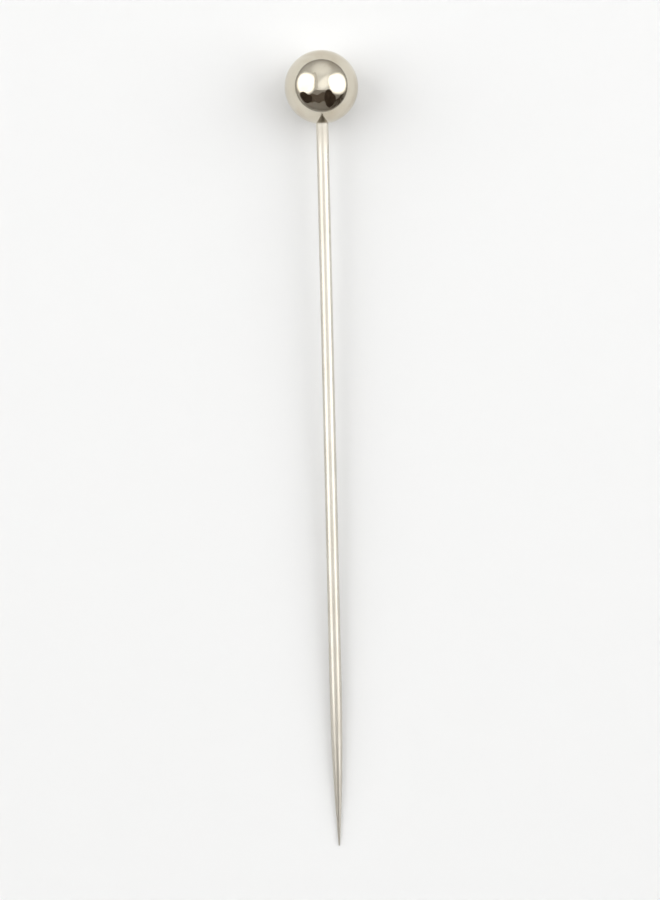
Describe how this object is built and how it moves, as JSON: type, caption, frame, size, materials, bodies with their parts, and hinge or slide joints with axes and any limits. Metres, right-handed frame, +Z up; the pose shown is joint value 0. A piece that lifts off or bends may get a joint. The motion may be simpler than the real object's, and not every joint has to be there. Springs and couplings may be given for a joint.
{
  "type": "hijab pin",
  "caption": "Straight pin for scarves and veils: a bright round metal ball pressed on a slender plated steel wire that is ground to a long, fine point.",
  "frame": {"origin": "on the surface the pin lies on, under the middle of its length", "axes": "+Y along the pin towards its head, +Z up, the point towards -Y; the pin's own axis rises 2.68 degrees towards the head"},
  "size_m": [0.0034, 0.038, 0.0035],
  "materials": {
    "plated_head": "bright nickel plate on a polished steel ball, warm silver, mirror-like",
    "plated_wire": "nickel plate on hard-drawn steel wire, bright, with fine lines along it and a ground point"
  },
  "bodies": {
    "root": {"ball_head": "plated_head", "pin_shaft": "plated_wire"}
  },
  "joints": []
}
